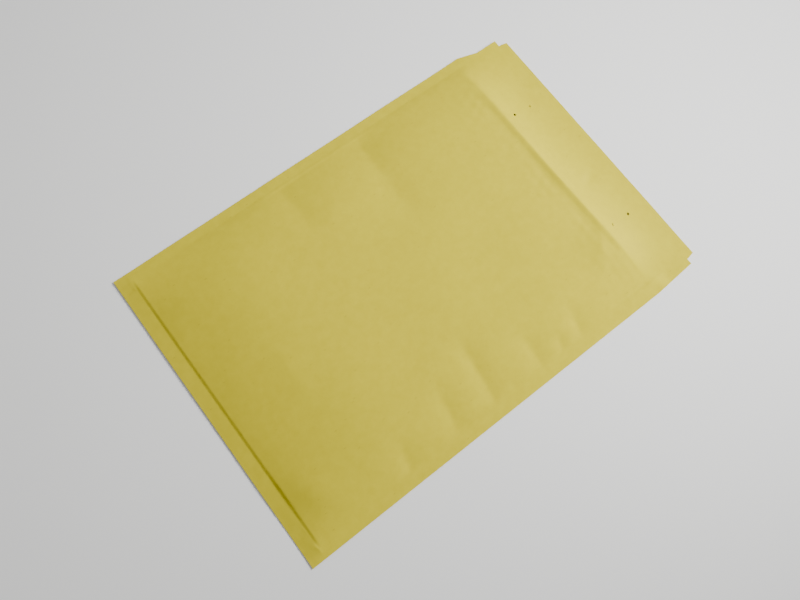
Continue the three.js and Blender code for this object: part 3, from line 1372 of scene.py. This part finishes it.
@dataclass(frozen=True)
class Softbox:
    """A square studio light that looks at a point on the table.

    Attributes:
        name: The light's name.
        place: Where it hangs, in metres.
        size: The side of its front, in metres.
        power: Its power in watts.
        spread: The angle that the grid on its front lets through, in degrees.
        aim: The point that it looks at, in metres.
    """

    name: str
    place: tuple[float, float, float]
    size: float
    power: float
    spread: float = 180.0
    aim: tuple[float, float, float] = (-0.06, 0.06, 0.0)

    def hang(self) -> None:
        """Add the light to the scene."""
        data = bpy.data.lights.new(self.name, "AREA")
        data.shape = "SQUARE"
        data.size = self.size
        data.energy = self.power
        data.spread = math.radians(self.spread)
        light = bpy.data.objects.new(self.name, data)
        light.location = self.place
        light.rotation_euler = (Vector(self.aim) - Vector(self.place)).to_track_quat("-Z", "Y").to_euler()
        bpy.context.scene.collection.objects.link(light)


@dataclass(frozen=True)
class Studio:
    """The floor, the lights, the surroundings and the camera.

    Attributes:
        floor_half_size: From the middle of the floor to its edges, in metres.
        surroundings: The strength of the even light from all around.
        lens: The camera's focal length.
        camera_place: Where the camera stands, in metres.
        camera_right: The way to its right.
        camera_up: The way to its top.
        camera_back: The way behind it.
    """

    floor_half_size: float = 4.0
    surroundings: float = 0.24
    lens: float = 32.11
    camera_place: tuple[float, float, float] = (0.1213, -0.1542, 0.5958)
    camera_right: tuple[float, float, float] = (0.6073, 0.7923, 0.0591)
    camera_up: tuple[float, float, float] = (-0.7748, 0.5742, 0.2643)
    camera_back: tuple[float, float, float] = (0.1755, -0.2064, 0.9626)

    def add_floor(self) -> None:
        """Add the plain floor under the envelope."""
        bm = bmesh.new()
        bmesh.ops.create_grid(bm, x_segments=1, y_segments=1, size=self.floor_half_size)
        mesh = bpy.data.meshes.new("floor")
        bm.to_mesh(mesh)
        bm.free()
        mesh.materials.append(MattFloor().material())
        floor = bpy.data.objects.new("floor", mesh)
        bpy.context.scene.collection.objects.link(floor)

    def add_light(self) -> None:
        """Add a near key and a low raking light past the flap, a fill opposite, and even surroundings."""
        Softbox("key", place=(0.42, 0.5, 0.58), size=0.35, power=1.4, spread=90).hang()
        Softbox("rake", place=(0.2, 1.7, 0.95), size=0.6, power=7.2, spread=60).hang()
        Softbox("fill", place=(-0.8, 0.1, 1.1), size=0.9, power=3.0).hang()
        world = bpy.data.worlds.new("surroundings")
        world.use_nodes = True
        background = world.node_tree.nodes["Background"]
        background.inputs["Color"].default_value = srgb("#FFFFFF")
        background.inputs["Strength"].default_value = self.surroundings
        bpy.context.scene.world = world

    def add_camera(self) -> None:
        """Add the camera, close above the bottom corner at +X and looking down."""
        data = bpy.data.cameras.new("camera")
        data.lens = self.lens
        data.clip_start = 0.01
        camera = bpy.data.objects.new("camera", data)
        axes = Matrix((self.camera_right, self.camera_up, self.camera_back)).transposed()
        camera.matrix_world = Matrix.Translation(self.camera_place) @ axes.to_4x4()
        bpy.context.scene.collection.objects.link(camera)
        bpy.context.scene.camera = camera


# ---- putting it together ----


def box_mm(node: str) -> tuple[Vector, Vector]:
    """Return a CAD node's lowest and highest corners, in millimetres."""
    low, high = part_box(node)
    return low / MM, high / MM


@dataclass(frozen=True)
class PaddedEnvelope:
    """The whole envelope, from its sheets to the liner on its flap."""

    def creases(self) -> tuple[Crease, ...]:
        """List the puckers along the side seams and the longer folds.

        Returns:
            The creases.
        """
        valley, ridge = Fold.VALLEY, Fold.RIDGE
        # each is: fold, start, end, depth, reach, spread, rounding, swell, fade
        return (
            # the right side, from the mouth down
            Crease(valley, (137, 79), (97, 88), 1.5, (6, 9), 0.3),
            Crease(valley, (137, 57), (114, 64), 1.2, (3.5, 5), 0.3, (0.5, 2.0)),
            Crease(valley, (137, 36), (88, 36), 1.7, (9, 12), 0.3),
            Crease(valley, (134, 6), (119, 1), 0.3, (2.5, 3), 0.3, (0.4, 1.0), 0.3, 0.5),
            Crease(valley, (137, -17), (54, -9), 2.3, (11, 14), 0.2, (0.9, 2.4), 0.15, 0.5),
            Crease(valley, (135, -44), (122, -52), 0.3, (2.5, 3), 0.3, (0.4, 1.0), 0.3, 0.5),
            Crease(valley, (137, -58), (78, -47), 1.7, (9, 11), 0.3),
            Crease(valley, (137, -108), (100, -100), 1.2, (6, 9), 0.3),
            # the left side
            Crease(valley, (-137, 33), (-12, 25), 2.8, (22, 28), 0.3, (0.6, 8.0), 0.1, 0.55),
            Crease(valley, (-137, -52), (-52, -48), 1.5, (22, 14), 0.3, (0.5, 6.0), 0.1, 0.7),
            # the mouth: the body dips before the flap's fold, whose end runs off across the corner
            Crease(valley, (-120, 146), (96, 149), 0.3, (7, 20), 0.0, (4.0, 4.0), 0.3, 0.3),
            Crease(ridge, (58, 161), (104, 129), 1.3, (7, 14), 0.3, (1.5, 2.5), 0.35, 0.45),
            # near the bottom seam
            Crease(ridge, (-24, -136), (46, -139), 0.5, (8, 12), 0.2, (2.5, 3.5), 0.4, 0.4),
        )

    def dents(self) -> tuple[Dent, ...]:
        """List the soft hollows and swellings.

        Returns:
            The dents.
        """
        return (
            Dent(Fold.VALLEY, (25, 184), (5, 9), 0.8, 20),
            Dent(Fold.VALLEY, (136, 158), (38, 42), 1.9),
            Dent(Fold.RIDGE, (99, -179), (30, 14), 0.9, 42),
        )

    def band_creases(self) -> tuple[Crease | Dent, ...]:
        """List the creases and the dent pressed through all the layers of the bottom seam.

        Returns:
            The creases and the dent.
        """
        return (
            Crease(Fold.VALLEY, (-129, -202), (-128, -212), 0.25, (1.5, 2.5), 0.0, (0.2, 0.4), 0.2, 0.3),
            Crease(Fold.VALLEY, (117.6, -202), (118.4, -211), 0.2, (1.5, 2.5), 0.0, (0.2, 0.4), 0.2, 0.3),
            Crease(Fold.RIDGE, (128, -204.5), (141, -199.5), 0.3, (1.5, 2.5), 0.0, (0.4, 0.8), 0.3, 0.4),
            Dent(Fold.VALLEY, (116, -214), (32, 9), 0.5),
        )

    def punchings(self) -> tuple[Punching, ...]:
        """Place the four punchings beside the flap's fold.

        Returns:
            The punchings.
        """
        return (
            Punching(x=-63.9, from_crease=11.0, hanging=False),
            Punching(x=-63.9, from_crease=32.0, hanging=True),
            Punching(x=72.5, from_crease=11.0, hanging=True),
            Punching(x=72.5, from_crease=32.0, hanging=False),
        )

    def lie(self) -> Lie:
        """Take the envelope's plan from the frame.

        Returns:
            The envelope's lie.
        """
        low, high = box_mm("front_sheet")
        mouth_y = box_mm("back_sheet")[1].y
        return Lie(half_width=high.x, bottom_y=low.y, mouth_y=mouth_y, flap_end_y=high.y)

    def build(self) -> None:
        """Build every piece, dress it and join it to the frame."""
        relief = Relief(self.lie(), self.creases(), self.dents(), self.band_creases())
        kraft = KraftPaper().material()
        adhesive = Adhesive().material()
        join_frame(FrontSheet(relief, self.punchings()).build(), "front_sheet", kraft)
        join_frame(BackSheet(relief).build(), "back_sheet", kraft)
        self._line(relief, BubbleFilm().material())
        low, high = box_mm("seam_glue")
        join_frame(SeamGlue(relief, high.x, low.y, high.y).build(), "seam_glue", adhesive)
        self._gum_flap(relief, adhesive)

    def _line(self, relief: Relief, film: bpy.types.Material) -> None:
        """Build the two bubble films.

        Args:
            relief: What they lie against.
            film: Their material.
        """
        sides = {"front_bubble_film": BubbleSide.UP, "back_bubble_film": BubbleSide.DOWN}
        for node, side in sides.items():
            low, high = box_mm(node)
            piece = BubbleLining(relief, side, high.x, low.y, high.y).build()
            join_frame(piece, node, film)

    def _gum_flap(self, relief: Relief, adhesive: bpy.types.Material) -> None:
        """Build the adhesive on the flap's underside and the liner over it.

        Args:
            relief: What they lie against.
            adhesive: The adhesive's material.
        """
        glue = relief.lie.glue
        low, high = box_mm("flap_adhesive")
        strip = FlapStrip("flap_adhesive_strip", relief, high.x, low.y, high.y, 0.0, glue)
        join_frame(strip.build(), "flap_adhesive", adhesive)
        low, high = box_mm("release_liner")
        strip = FlapStrip("release_liner_strip", relief, high.x, low.y, high.y, glue, relief.lie.liner)
        join_frame(strip.build(), "release_liner", ReleasePaper().material())


def main() -> None:
    """Build the envelope in its studio."""
    logging.basicConfig(level=logging.INFO, format="%(name)s: %(message)s")
    studio = Studio()
    studio.add_camera()
    PaddedEnvelope().build()
    studio.add_floor()
    studio.add_light()


if __name__ == "__main__":
    main()
